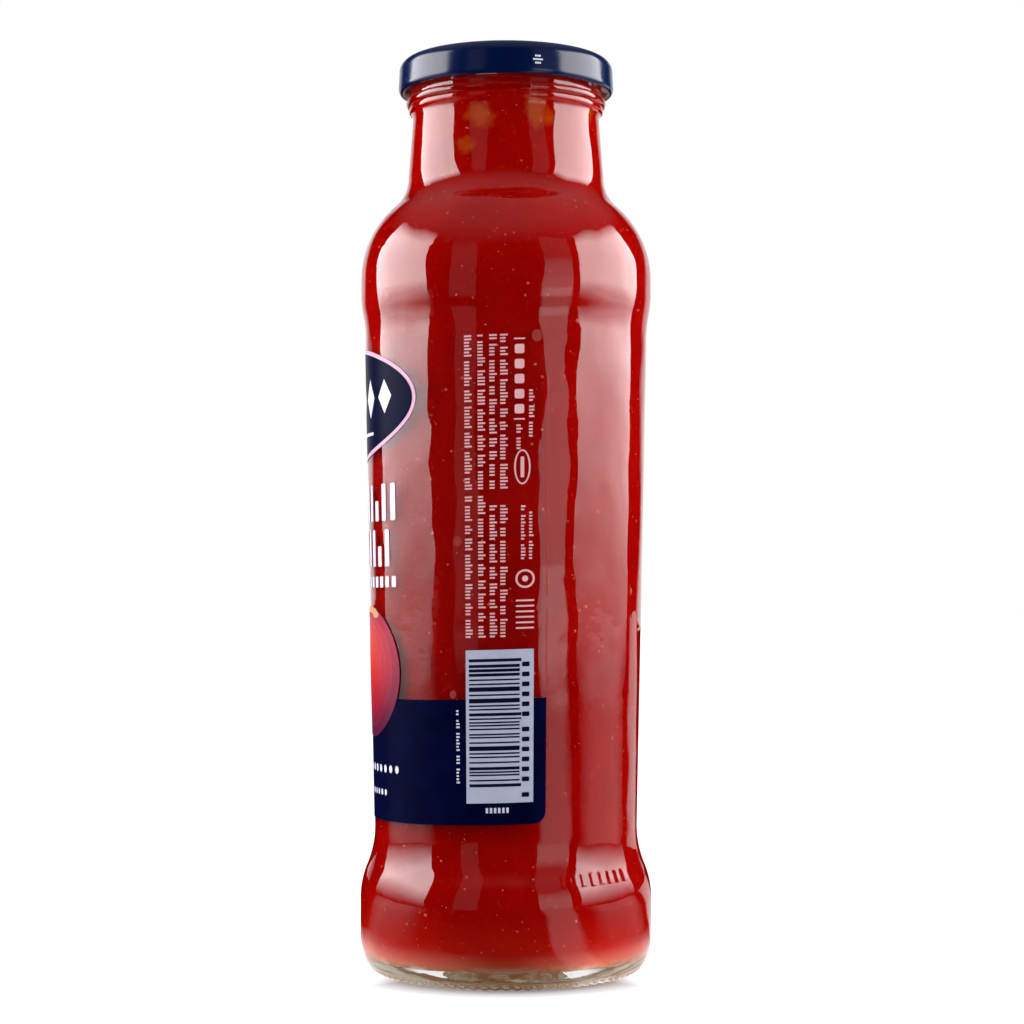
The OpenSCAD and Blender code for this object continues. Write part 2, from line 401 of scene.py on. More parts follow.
def sauceMaterial():
    s = Surface("sievedTomato")
    height = s.axis("Z")
    cloud = s.noise(sauceLook["cloudSize"], detail=4, rough=0.6)
    grain = s.noise(sauceLook["grainSize"], detail=3)
    base = s.mix((cloud * 1.4 - 0.35).step(0, 1), sauceLook["deep"], sauceLook["bright"])
    # painted light: lighter red towards the bottom of the sauce, for light that comes in through the
    # base
    low = 1 - height.step(floorZ * mm, (floorZ + sauceLook["baseLightHeight"]) * mm)
    base = s.mix(low ** 1.6, base, sauceLook["low"])
    # painted light: amber glow at the bottom of the sauce, for light through the glass base
    foot = 1 - height.step(floorZ * mm, (floorZ + sauceLook["footHeight"]) * mm)
    base = s.mix(foot ** 1.5 * 0.85, base, sauceLook["foot"])
    # painted light: the underside of the sauce is brown with pale streaks, a painted reflection of the
    # lit floor seen through the base
    flat = s.node("VectorMath", {"operation": "MULTIPLY"}, {0: s.place, 1: (1, 1, 0)})
    radius = s.node("VectorMath", {"operation": "LENGTH"}, {0: flat}, out="Value")
    under = 1 - radius.step(floorRadius * mm, (floorRadius + 4) * mm)
    under = under * (1 - height.step(sauceLook["underTop"] * mm, (sauceLook["underTop"] + 3) * mm))
    bent = s.noise(sauceLook["bentSize"], detail=3, rough=0.6, stretch=(1, 1, 2)).step(0.46, 0.6)
    base = s.mix(under, base, s.mix(bent, sauceLook["under"], sauceLook["underPale"]))
    streaks = s.noise(sauceLook["cloudSize"], detail=3, rough=0.5, stretch=(1, 1, 0.6))
    inNeck = height.step((neckTopZ - 16) * mm, (neckTopZ - 4) * mm)
    inNeck = inNeck * (1 - height.step((neckTopZ + 1) * mm, (neckTopZ + 3.5) * mm))
    thin = (streaks + inNeck * 0.12).step(0.64, 0.78) * inNeck
    base = s.mix(thin * 0.7, base, sauceLook["amber"])
    torn = (cloud - 0.5) * 0.008 + (s.noise(sauceLook["tearSize"], detail=3) - 0.5) * 0.007
    for turn, z, size in sauceLook["patches"]:  # thin places near the top of the sauce
        spot = outFrom(turn, (bottle["neckHeadRadius"] - bottle["wall"]) * mm, z * mm)
        away = s.node("VectorMath", {"operation": "DISTANCE"}, {0: s.place, 1: tuple(spot)},
                      out="Value")
        near = 1 - (away + torn).step(size * 0.25 * mm, size * mm)
        base = s.mix(near * 0.45, base, sauceLook["amber"])
    base = s.mix(grain.step(0.6, 0.75) * 0.12, base, sauceLook["amber"])
    pulp = s.bump(grain * 0.4 + cloud, 0.3, 0.0004)
    body = s.principled(Base_Color=base, Roughness=0.6, Specular_IOR_Level=0, Normal=pulp)
    return s.show(body)


def sauceOutline():
    into = sauce["intoWall"]
    return insideOutline(bottle["wall"] - into, floorZ - into, bottle["boreRadius"] + into,
                         rimZ - sauce["headspace"])


def makeSauce():
    bm = lathe(sauceOutline() + [(0, rimZ - sauce["headspace"])], sauce["turns"])
    return makePiece("sauceBody", bm, [sauceMaterial()], ["passata"], sharpAngle=50)


makeSauce()
print("sauce done")


# Lid

lid = {
    "radius": 28, "flare": 0.2, "cornerWidth": 2.8, "cornerHeight": 3, "steel": 0.25, "height": 8.7,
    "curlHeight": 2.8, "curlWidth": 1.75, "discRadius": 20.6, "discDepth": 1.1,
    "discStep": 0.9, "buttonRadius": 9, "buttonHeight": 0.5, "buttonStep": 1.2,
    "sealThickness": 0.8, "sealGap": 0.03, "turns": 256,
    "clawSpan": 12, "clawThickness": 0.7, "overlap": 0.2,
}
lidTopZ = rimZ + lid["sealThickness"] + 2 * lid["sealGap"] + lid["steel"]
lidFootZ = lidTopZ - lid["height"]
lidLook = {"navy": srgb(0, 16, 60), "navyShade": srgb(0, 10, 44), "inside": srgb(176, 178, 176)}


def skirtRadius(z):
    straight = lid["height"] - lid["cornerHeight"] - lid["curlHeight"] / 2
    return lid["radius"] + lid["flare"] * (lidTopZ - lid["cornerHeight"] - z) / straight


def lidOutsideMaterial():
    s = Surface("navyLacquer")
    peel = s.noise(420, detail=2)
    slow = s.noise(45, detail=2)
    navy = s.mix(slow, lidLook["navy"], lidLook["navyShade"])
    rough = 0.14 + peel * 0.05
    body = s.principled(Base_Color=navy, Roughness=rough, Specular_IOR_Level=0.4,
                        Normal=s.bump(peel * 0.3 + slow, 0.15, 0.0004))
    return s.show(body)


def lidInsideMaterial():
    s = Surface("paleLacquer")
    peel = s.noise(500, detail=2)
    grey = s.mix(peel * 0.5, lidLook["inside"], srgb(150, 152, 150))
    body = s.principled(Base_Color=grey, Roughness=0.25 + peel * 0.1, Metallic=0.35,
                        Normal=s.bump(peel, 0.1, 0.0002))
    return s.show(body)


def pressing(inset):  # from the middle of the lid out to its corner
    discZ = lidTopZ - lid["discDepth"] - inset
    buttonZ = discZ + lid["buttonHeight"]
    ringRadius = lid["discRadius"] + lid["discStep"]

    def step(inner, outer, fromZ, toZ):
        points = []
        for i in range(9):
            share = (1 - math.cos(math.pi * i / 8)) / 2
            points.append((inner + (outer - inner) * i / 8, fromZ + (toZ - fromZ) * share))
        return points

    return (
        [(0, buttonZ + 0.1)]
        + step(lid["buttonRadius"] - lid["buttonStep"], lid["buttonRadius"], buttonZ, discZ)
        + step(lid["discRadius"] - 3.2, lid["discRadius"] - 2.4, discZ, discZ + 0.25)
        + step(lid["discRadius"] - 1.9, lid["discRadius"] - 1.1, discZ + 0.25, discZ)
        + step(lid["discRadius"], ringRadius, discZ, lidTopZ - inset)
        + oval((lid["radius"] - lid["cornerWidth"], lidTopZ - lid["cornerHeight"]),
               lid["cornerWidth"] - inset, lid["cornerHeight"] - inset, 90, 0, 16)
    )


def makeLid():
    curlMiddle = (lid["radius"] + lid["flare"] - lid["curlWidth"] / 2, lidFootZ + lid["curlHeight"] / 2)
    roll = oval(curlMiddle, lid["curlWidth"] / 2, lid["curlHeight"] / 2, 0, -236, 36)
    outline = pressing(0) + roll + list(reversed(pressing(lid["steel"])))
    bm = lathe(outline, lid["turns"])
    for face in bm.faces:
        middle = face.calc_center_median()
        outward = face.normal.xy.dot(middle.xy) / max(0.001, middle.xy.length)
        face.material_index = 1 if outward < -0.3 else 0
    clawIn = bottle["finishRadius"] + 2 * lid["overlap"]
    clawOut = curlMiddle[0]
    for i in range(lugs["count"]):
        size = (clawOut - clawIn, 2 * clawIn * math.sin(math.radians(lid["clawSpan"] / 2)),
                lid["clawThickness"])
        place = Vector(((clawIn + clawOut) / 2, 0, lidFootZ + lid["overlap"] + size[2] / 2))
        turn = Matrix.Rotation(fullTurn * i / lugs["count"], 4, "Z")
        made = bmesh.ops.create_cube(
            bm, size=1, matrix=turn @ Matrix.Translation(place) @ Matrix.Diagonal((*size, 1)))
        for face in {f for v in made["verts"] for f in v.link_faces}:
            face.material_index = 1
    return makePiece("lidShell", bm, [lidOutsideMaterial(), lidInsideMaterial()], ["lid"],
                     sharpAngle=50)


makeLid()


def sealMaterial():
    s = Surface("sealingCompound")
    speck = s.noise(700, detail=3)
    pale = s.mix(speck, srgb(222, 219, 205), srgb(198, 195, 182))
    return s.show(s.principled(Base_Color=pale, Roughness=0.6 + speck * 0.1,
                               Normal=s.bump(speck, 0.2, 0.0002)))


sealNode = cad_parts["seal"]
sealNode.data.materials.clear()
sealNode.data.materials.append(sealMaterial())
print("lid and seal done")


# Label: flat artwork that faces -Y, x runs round the bottle from the middle of the front,
# z is height and -y is out from the glass. wrapRound bends it onto the tapered panel.

label = {
    "span": 236, "height": 122, "lift": 2.2, "film": 0.12, "gap": 0.03, "corner": 3,
    "climb": 1.6, "wrapRadius": 35.5, "ink": 0.02, "strip": 1.2,
}
labelFootZ = panelZ + label["lift"]
labelTopZ = labelFootZ + label["height"]
labelHalf = math.radians(label["span"] / 2) * label["wrapRadius"]
inkOut = label["gap"] + label["film"]


def around(degrees):  # distance round the label of an angle from its middle
    return math.radians(degrees) * label["wrapRadius"]


def wrapRound(bm, radiusAt=panelRadius, wrapRadius=label["wrapRadius"], climb=label["climb"]):
    low = min(v.co.x for v in bm.verts)
    high = max(v.co.x for v in bm.verts)
    for i in range(1, int((high - low) / label["strip"]) + 1):
        bmesh.ops.bisect_plane(bm, geom=bm.verts[:] + bm.edges[:] + bm.faces[:], dist=1e-5,
                               plane_co=(low + i * label["strip"], 0, 0), plane_no=(1, 0, 0))
    steepness = climb / (1 - math.cos(math.radians(label["span"] / 2)))
    for v in bm.verts:
        angle = v.co.x / wrapRadius
        radius = radiusAt(v.co.z) - v.co.y
        z = v.co.z + steepness * (1 - math.cos(angle))
        v.co = Vector((radius * math.sin(angle), -radius * math.cos(angle), z))
    bmesh.ops.recalc_face_normals(bm, faces=bm.faces)
    return bm


def addPlate(bm, x, z, width, height, layer, corner=0.0, onlyFoot=False):
    verts = bmesh.ops.create_grid(bm, x_segments=1, y_segments=1, size=0.5)["verts"]
    bmesh.ops.scale(bm, vec=(width, height, 1), verts=verts)
    if corner:
        picked = [v for v in verts if v.co.y < 0 or not onlyFoot]
        rounded = bmesh.ops.bevel(bm, geom=picked, offset=corner, segments=5, profile=0.5,
                                  affect="VERTICES", material=-1)
        verts = list(rounded["verts"][0].link_faces[0].verts)
    return raisePlate(bm, verts, x, z, layer)


def addDisc(bm, x, z, width, height, layer, sides=48):
    made = bmesh.ops.create_circle(bm, cap_ends=True, radius=0.5, segments=sides)
    bmesh.ops.scale(bm, vec=(width, height, 1), verts=made["verts"])
    return raisePlate(bm, made["verts"], x, z, layer)


def addRing(bm, x, z, width, height, line, layer, sides=40):
    outer = bmesh.ops.create_circle(bm, radius=0.5, segments=sides)["verts"]
    bmesh.ops.scale(bm, vec=(width, height, 1), verts=outer)
    inner = bmesh.ops.create_circle(bm, radius=0.5, segments=sides)["verts"]
    bmesh.ops.scale(bm, vec=(width - 2 * line, height - 2 * line, 1), verts=inner)
    edges = list({e for v in outer + inner for e in v.link_edges})
    bmesh.ops.bridge_loops(bm, edges=edges)
    return raisePlate(bm, outer + inner, x, z, layer)


def raisePlate(bm, verts, x, z, layer):  # stands a flat shape up and gives it thickness
    turn = Matrix.Rotation(math.radians(90), 4, "X")
    bmesh.ops.transform(bm, matrix=turn, verts=verts)
    depth = inkOut + layer * label["ink"]
    bmesh.ops.translate(bm, vec=(x, -depth, z), verts=verts)
    faces = list({f for v in verts for f in v.link_faces})
    grown = bmesh.ops.extrude_face_region(bm, geom=faces, use_keep_orig=True)
    moved = [g for g in grown["geom"] if isinstance(g, bmesh.types.BMVert)]
    bmesh.ops.translate(bm, vec=(0, -label["ink"], 0), verts=moved)
    return verts


def inkMaterial(name, colour, shade, size=160, rough=0.3, rise=None, shine=0.12):
    s = Surface(name)
    mottle = s.noise(size, detail=4, rough=0.6)
    grain = s.noise(2600, detail=2)
    tone = s.mix((mottle * 1.5 - 0.3).step(0, 1), colour, shade)
    if rise:  # a third colour that comes in between two heights
        lowZ, highZ, third = rise
        tone = s.mix((s.axis("Z") + mottle * 0.006).step(lowZ * mm, highZ * mm), tone, third)
    body = s.principled(Base_Color=tone, Roughness=rough + grain * 0.06, Specular_IOR_Level=shine,
                        Normal=s.bump(mottle + grain * 0.1, 0.12, 0.0003))
    return s.show(body)


filmLook = {"roughness": 0.12, "edgeShine": 0.09, "leastShine": 0.001, "rippleSize": 120,
            "clear": (0.985, 0.98, 0.985, 1)}


def filmMaterial():
    s = Surface("clearFilm")
    ripple = s.noise(filmLook["rippleSize"], detail=3, stretch=(1, 1, 0.5))
    gloss = s.node("BsdfGlossy", values={
        "Color": (1, 1, 1, 1), "Roughness": filmLook["roughness"],
        "Normal": s.bump(ripple, 0.25, 0.0003)})
    clear = s.node("BsdfTransparent", values={"Color": filmLook["clear"]})
    facing = s.node("LayerWeight", values={"Blend": 0.5}, out="Facing")
    share = facing ** 4 * filmLook["edgeShine"] + filmLook["leastShine"]
    return s.show(s.node("MixShader", values={0: share, 1: clear, 2: gloss}))


def makeFilm():
    bm = bmesh.new()
    made = bmesh.ops.create_grid(bm, x_segments=1, y_segments=1, size=0.5)
    bmesh.ops.scale(bm, vec=(2 * labelHalf, label["height"], 1), verts=made["verts"])
    bmesh.ops.bevel(bm, geom=made["verts"], offset=label["corner"], segments=8, profile=0.5,
                    affect="VERTICES", material=-1)
    bmesh.ops.rotate(bm, verts=bm.verts, matrix=Matrix.Rotation(math.radians(90), 3, "X"))
    middle = (labelFootZ + labelTopZ) / 2
    bmesh.ops.translate(bm, vec=(0, -label["gap"], middle), verts=bm.verts)
    grown = bmesh.ops.extrude_face_region(bm, geom=bm.faces[:], use_keep_orig=True)
    moved = [g for g in grown["geom"] if isinstance(g, bmesh.types.BMVert)]
    bmesh.ops.translate(bm, vec=(0, -label["film"], 0), verts=moved)
    return makePiece("labelFilm", wrapRound(bm), [filmMaterial()], ["label"],
                     sharpAngle=40)


makeFilm()

band = {"height": 31, "ink": srgb(0, 0, 26), "shade": srgb(1, 7, 46)}
whiteInk = inkMaterial("whiteInk", srgb(205, 205, 222), srgb(190, 188, 206))
pinkInk = inkMaterial("pinkInk", srgb(226, 176, 180), srgb(208, 150, 156))
bandInk = inkMaterial("navyInk", band["ink"], band["shade"], shine=0.02)


def makePrint(name, bm, ink):
    return makePiece(name, wrapRound(bm), [ink], sharpAngle=40)


def makeBand():
    bm = bmesh.new()
    addPlate(bm, 0, labelFootZ + band["height"] / 2 + 0.2, 2 * labelHalf - 0.6, band["height"], 0,
             corner=label["corner"], onlyFoot=True)
    makePrint("navyBand", bm, bandInk)


makeBand()

barcode = {"angle": 98.4, "lowZ": 44.8, "width": 17.1, "height": 37.7, "barWidth": 12.8,
           "foot": 4, "head": 1.8, "side": 0.8, "middle": 21, "longer": 0.4,
           "bars": (0.4, 0.4, 0.75, 1.1), "gaps": (0.33, 0.5, 0.66, 0.9),
           "blocks": 13, "block": (1.9, 1.15), "blockPitch": 2.45, "seed": 5}


def makeBarcode():
    b = barcode
    panel = bmesh.new()
    addPlate(panel, around(b["angle"]), b["lowZ"] + b["height"] / 2, b["width"], b["height"], 1)
    panelInk = inkMaterial("lavenderWhite", srgb(172, 176, 198), srgb(158, 162, 184))
    makePrint("codePanel", panel, panelInk)
    picks = random.Random(b["seed"])
    bars = bmesh.new()
    foot = b["lowZ"] + b["foot"]
    top = b["lowZ"] + b["height"] - b["head"]
    left = around(b["angle"]) - b["width"] / 2 + b["side"]
    z = foot
    while z < top:
        thick = picks.choice(b["bars"])
        guard = z < foot + 1 or z > top - 1.6 or abs(z - b["lowZ"] - b["middle"]) < 0.6
        width = b["barWidth"] + (b["longer"] if guard else 0)
        addPlate(bars, left + width / 2, z + thick / 2, width, thick, 2)
        z += thick + picks.choice(b["gaps"])
    for i in range(b["blocks"]):  # a column of plain blocks beside the bars
        z = b["lowZ"] + 1.9 + i * b["blockPitch"] + (1.4 if i > 0 else 0) + (1.3 if i > 6 else 0)
        addPlate(bars, left + b["barWidth"] + 1.5, z, *b["block"], 2, corner=0.25)
    makePrint("codeBars", bars, inkMaterial("codeInk", srgb(2, 3, 34), srgb(8, 10, 46)))


makeBarcode()

smallPrint = {
    "columns": ((86.1, 122.1, 160.6, 1.8), (91.4, 122.1, 160.6, 1.8), (96, 122.1, 160.6, 1.8),
                (100.2, 122.1, 160.6, 1.8), (86.1, 85.6, 120.6, 1.8), (91.4, 85.6, 120.6, 1.8),
                (96, 85.6, 118.2, 1.8), (100.2, 85.6, 119.4, 1.8), (106.2, 131.7, 137.9, 1.4),
                (111, 134.7, 146.8, 1.3), (107.8, 104.6, 118.1, 1.1), (111, 104.6, 117, 1.1),
                (81.1, 49.8, 68.3, 0.9)),
    "otherSide": ((-84, 84, 160, 1.4), (-89, 84, 157, 1.4), (-94, 84, 160, 1.4),
                  (-99, 84, 152, 1.4), (-104, 84, 158, 1.4)),
    "tick": 0.42, "pitch": 0.8, "word": (3, 8), "gap": 0.8, "seed": 3,
}


def addColumn(bm, picks, angle, low, high, width):  # words of short strokes, one above another
    z = low
    left = smallPrint["word"][0]
    while z < high:
        for _ in range(picks.randint(*smallPrint["word"])):
            if z > high - smallPrint["tick"]:
                break
            tall = width * picks.choice((0.7, 0.7, 1))
            addPlate(bm, around(angle) + (tall - width) / 2, z + smallPrint["tick"] / 2, tall,
                     smallPrint["tick"], 1)
            z += smallPrint["pitch"]
        z += smallPrint["gap"]


def makeSmallPrint():
    picks = random.Random(smallPrint["seed"])
    for side in ("columns", "otherSide"):
        for i, column in enumerate(smallPrint[side]):
            bm = bmesh.new()
            addColumn(bm, picks, *column)
            onBand = column[1] < labelFootZ + band["height"]
            makePrint(side + str(i), bm, whiteInk if onBand else pinkInk)


makeSmallPrint()

signs = {"angle": 106.2, "squares": (141.6, 145.3, 149, 152.7, 156.4), "square": 2.3,
         "bars": (139.1, 158.9), "oval": (107.4, 127.3, 4, 8.6),
         "weight": {"angle": 108.6, "bars": 6, "lowZ": 87.7, "pitch": 1.35, "bar": (4.6, 0.42),
                    "ringZ": 99.8, "ring": (4.8, 4.6, 0.5), "dot": 1.5},
         "foot": {"angle": 97.4, "z": 43, "bars": 6, "pitch": 1.05, "bar": (0.6, 1.3)}}


def makeSigns():
    bm = bmesh.new()
    x = around(signs["angle"])
    for i, z in enumerate(signs["squares"]):
        addPlate(bm, x, z, signs["square"], signs["square"], 1, corner=0.5)
    for z in signs["bars"]:
        addPlate(bm, x, z, 2.6, 0.35, 1)
    angle, z, width, height = signs["oval"]
    addRing(bm, around(angle), z, width, height, 0.4, 1)
    addPlate(bm, around(angle), z, 0.9, height * 0.6, 1, corner=0.3)
    w = signs["weight"]
    for i in range(w["bars"]):
        addPlate(bm, around(w["angle"]), w["lowZ"] + i * w["pitch"], *w["bar"], 1, corner=0.2)
    addRing(bm, around(w["angle"]), w["ringZ"], *w["ring"], 1)
    addDisc(bm, around(w["angle"]), w["ringZ"], w["dot"], w["dot"], 1, sides=20)
    makePrint("signs", bm, pinkInk)
    foot = bmesh.new()
    f = signs["foot"]
    for i in range(f["bars"]):
        x = around(f["angle"]) + (i - (f["bars"] - 1) / 2) * f["pitch"]
        addPlate(foot, x, f["z"], *f["bar"], 1)
    makePrint("codeFoot", foot, whiteInk)


makeSigns()

badge = {"z": 146, "width": 78, "height": 30, "rim": 1.1, "diamonds": (-27, -18, -9, 0, 9, 18, 27),
         "diamond": (6.4, 13, 0.16), "lineZ": 138, "line": (40, 0.8)}
blocks = {"rows": ((120.2, 9.4, 30), (108.6, 9.4, 27)), "pitch": 4.1, "bar": 2.2,
          "thinZ": 100, "thinHeight": 2.8, "thinHalf": 30, "thinCount": 20, "thinWidth": 1.9}
dots = {"rows": ((52.6, 30, 2), (46.6, 24, 1.6)), "count": 21}


def makeFront():
    rim = bmesh.new()
    addDisc(rim, 0, badge["z"], badge["width"], badge["height"], 0, sides=96)
    makePrint("badgeRim", rim, inkMaterial("rimInk", srgb(206, 160, 186), srgb(194, 146, 172)))
    field = bmesh.new()
    inner = 2 * badge["rim"]
    addDisc(field, 0, badge["z"], badge["width"] - inner, badge["height"] - inner, 1, sides=96)
    makePrint("badgeField", field, bandInk)
    bm = bmesh.new()
    for x in badge["diamonds"]:
        width, height, less = badge["diamond"]
        addDisc(bm, x, badge["z"] + 1, width, height - abs(x) * less, 2, sides=4)
    addPlate(bm, 0, badge["lineZ"], *badge["line"], 2)
    for z, height, half in blocks["rows"]:
        count = int(2 * half / blocks["pitch"])
        for i in range(count + 1):
            tall = height * (1 if i % 3 else 0.55)
            addPlate(bm, -half + i * 2 * half / count, z - (height - tall) / 2, blocks["bar"],
                     tall, 1, corner=0.4)
    for i in range(blocks["thinCount"]):
        x = blocks["thinHalf"] * (2 * i / (blocks["thinCount"] - 1) - 1)
        addPlate(bm, x, blocks["thinZ"], blocks["thinWidth"], blocks["thinHeight"], 1, corner=0.3)
    for z, half, size in dots["rows"]:
        for i in range(dots["count"]):
            x = half * (2 * i / (dots["count"] - 1) - 1)
            addDisc(bm, x, z, size * 0.8, size, 1, sides=20)
    makePrint("frontPrint", bm, whiteInk)


makeFront()

tomatoes = {"places": ((-17, 77, 15, 0), (14.6, 77, 17.4, 6)), "rings": 6, "calyx": 6,
            "shrink": 0.66, "aside": 0.16, "up": 0.08, "riseFrom": (68, 78), "riseTo": (90, 95),
            "foot": (srgb(76, 12, 46), srgb(176, 2, 24)),
            "top": (srgb(150, 44, 66), srgb(216, 82, 68)),
            "leaf": (srgb(176, 150, 104), srgb(206, 130, 112))}


def blend(first, second, share):
    return tuple(a + (b - a) * share for a, b in zip(first, second))


def tomatoInk(ring, share):
    foot = blend(*tomatoes["foot"], share)
    top = blend(*tomatoes["top"], share)
    lowZ, highZ = blend(*zip(tomatoes["riseFrom"], tomatoes["riseTo"]), share)
    return inkMaterial("tomatoInk" + str(ring), foot, blend(foot, top, 0.15), size=60,
                       rise=(lowZ, highZ, top))


def makeTomatoes():
    for ring in range(tomatoes["rings"]):  # from the skin in to the bright middle
        share = ring / (tomatoes["rings"] - 1)
        bm = bmesh.new()
        for x, z, radius, layer in tomatoes["places"]:
            wide = 2 * radius * (1 - tomatoes["shrink"] * share)
            addDisc(bm, x - radius * tomatoes["aside"] * share, z + radius * tomatoes["up"] * share,
                    wide, wide * 0.96, layer + 1 + ring, sides=64)
        makePrint("tomatoRing" + str(ring), bm, tomatoInk(ring, share))
    leaf = bmesh.new()
    for x, z, radius, layer in tomatoes["places"]:
        for i in range(tomatoes["calyx"]):
            turn = math.radians(-75 + 150 * i / (tomatoes["calyx"] - 1))
            addDisc(leaf, x + radius * 0.3 * math.sin(turn),
                    z + radius * (0.82 + 0.1 * math.cos(turn)), radius * 0.26, radius * 0.1,
                    layer + 1 + tomatoes["rings"], sides=20)
    makePrint("tomatoLeaves", leaf, inkMaterial("leafInk", *tomatoes["leaf"], size=90))


makeTomatoes()

table = {"angle": -74, "lowZ": 84, "rows": 9, "pitch": 4.4, "width": 12}


def makeTable():  # plain ruled table on the far side
    bm = bmesh.new()
    x = around(table["angle"])
    for i in range(table["rows"] + 1):
        addPlate(bm, x, table["lowZ"] + i * table["pitch"], table["width"], 0.3, 1)
    for i in range(table["rows"]):
        z = table["lowZ"] + (i + 0.5) * table["pitch"]
        addPlate(bm, x - 2.6, z, 5.2 - (i % 3) * 0.8, 0.9, 1, corner=0.3)
        addPlate(bm, x + 3.9, z, 2.6 - (i % 2) * 0.8, 0.9, 1, corner=0.3)
    makePrint("table", bm, pinkInk)


makeTable()

# blisters: air pockets under the film, drawn as paler red discs; the paler colour is a painted
# reflection in the trapped air
blisters = ((113, 159.6, 2.6), (81.5, 109.5, 2.2), (79, 71.7, 1.8), (-71, 133, 2.1))
# painted highlight: thin pale plates along both cut edges of the film, for light caught by the edge
filmEdgeHighlight = {"angle": 117.6, "width": 0.28, "pieces": ((76, 92), (96, 128), (131, 149), (152, 158))}


def makeFilmMarks():
    bm = bmesh.new()
    for angle, z, size in blisters:
        addDisc(bm, around(angle), z, size, size * 1.15, 1, sides=24)
    makePrint("blisters", bm, inkMaterial("blisterReflection", srgb(126, 34, 32), srgb(148, 56, 50)))
    # painted highlight along the film's cut edges
    edge = bmesh.new()
    for side in (-1, 1):
        for low, high in filmEdgeHighlight["pieces"]:
            addPlate(edge, side * around(filmEdgeHighlight["angle"]), (low + high) / 2, filmEdgeHighlight["width"],
                     high - low, 1, corner=0.1)
    makePrint("filmEdgeHighlight", edge, inkMaterial("edgeHighlightPaint", srgb(186, 80, 74), srgb(160, 40, 36)))


makeFilmMarks()

lidMark = {"angle": 117.6, "rows": ((232.4, 3), (231.5, 5), (230.6, 3)), "dash": (0.36, 0.44),
           "pitch": 0.54, "lift": 0.01}


def makeLidMark():  # three short rows of dashes on the skirt
    bm = bmesh.new()
    middle = math.radians(lidMark["angle"]) * lid["radius"]
    for z, count in lidMark["rows"]:
        for i in range(count):
            addPlate(bm, middle + (i - (count - 1) / 2) * lidMark["pitch"], z, *lidMark["dash"], 0)
    wrapRound(bm, lambda z: skirtRadius(z) + lidMark["lift"] - inkOut, lid["radius"], 0)
    pale = inkMaterial("lidMarkInk", srgb(232, 238, 246), srgb(214, 222, 234))
    makePiece("lidMark", bm, [pale], sharpAngle=40)


makeLidMark()
print("label done")


# Specks and seeds in the sauce, pressed against the glass

specks = {"count": 1500, "small": 0.16, "large": 0.5, "seed": 11}


def makeSpecks():
    picks = random.Random(specks["seed"])
    outline = sauceOutline()
    rows = [(a, b) for a, b in zip(outline, outline[1:]) if b[1] > a[1]]
    lengths = [math.dist(a, b) * (a[0] + b[0]) for a, b in rows]
    bm = bmesh.new()
    shape = bpy.data.meshes.new("speckShape")
    for i in range(specks["count"]):
        low, high = picks.choices(rows, lengths)[0]
        share = picks.random()
        radius = low[0] + (high[0] - low[0]) * share
        z = low[1] + (high[1] - low[1]) * share
        angle = picks.random() * fullTurn
        size = specks["small"] + (specks["large"] - specks["small"]) * picks.random() ** 4
        along = Vector((high[0] - low[0], 0, high[1] - low[1])).normalized()
        tilt = math.atan2(-along.x, along.z)
        place = (Matrix.Rotation(angle, 4, "Z") @ Matrix.Translation((radius, 0, z))
                 @ Matrix.Rotation(-tilt, 4, "Y")
                 @ Matrix.Rotation(picks.random() * math.pi, 4, "X")
                 @ Matrix.Diagonal((0.12, size * picks.uniform(0.6, 1), size, 1)))
        one = bmesh.new()
        bmesh.ops.create_icosphere(one, subdivisions=1, radius=1, matrix=place)
        one.to_mesh(shape)
        one.free()
        bm.from_mesh(shape)
    bpy.data.meshes.remove(shape)
    s = Surface("paleSpecks")
    tone = s.noise(300, detail=1)
    colour = s.mix(tone.step(0.35, 0.65), srgb(214, 60, 40), srgb(226, 110, 80))
    look = s.show(s.principled(Base_Color=colour, Roughness=0.5))
    return makePiece("paleSpecks", bm, [look])


makeSpecks()
print("specks done")


# Studio

camera = {"azimuth": 101, "distance": 0.584, "height": 0.1053, "lens": 78.4, "aimZ": 0.1184,
          "aimAside": 0.001572}


def makeCamera():
    data = bpy.data.cameras.new("viewCamera")
    data.lens = camera["lens"]
    data.sensor_width = 36
    viewer = bpy.data.objects.new("viewCamera", data)
    bpy.context.collection.objects.link(viewer)
    viewer.location = outFrom(camera["azimuth"], camera["distance"], camera["height"])
    side = outFrom(camera["azimuth"] + 90, 1, 0)
    aim = Vector((0, 0, camera["aimZ"])) + side * camera["aimAside"]
    viewer.rotation_euler = (aim - viewer.location).to_track_quat("-Z", "Y").to_euler()
    bpy.context.scene.camera = viewer


studio = {
    "boxDistance": 0.62, "boxHeight": 0.72, "boxFade": (0.03, 0.34, 0.75, 1, 1),
    "boxes": (("boxLeft", -92, 0.66, 8.2), ("boxRight", 89.5, 0.74, 7.544)),
    "panelDistance": 0.9, "panelZ": 0.4, "panelHeight": 0.8,
    "panels": (("panelRight", 39, 0.34, 1.4, (0, 0.05, 0.3, 0.5, 0.8)),
               ("panelLeft", -32, 0.3, 0.25, (0, 0.05, 0.8, 1, 1))),
    "behind": 1.2, "front": 0.45, "mirrorBehind": 0.9, "mirrorFront": 0.002,
    "mirrorAbove": 0.34,
    "floorGlow": 0.05, "floorMirror": 0.8, "floorBelow": 0.85, "floorDrop": 0.0002,
}


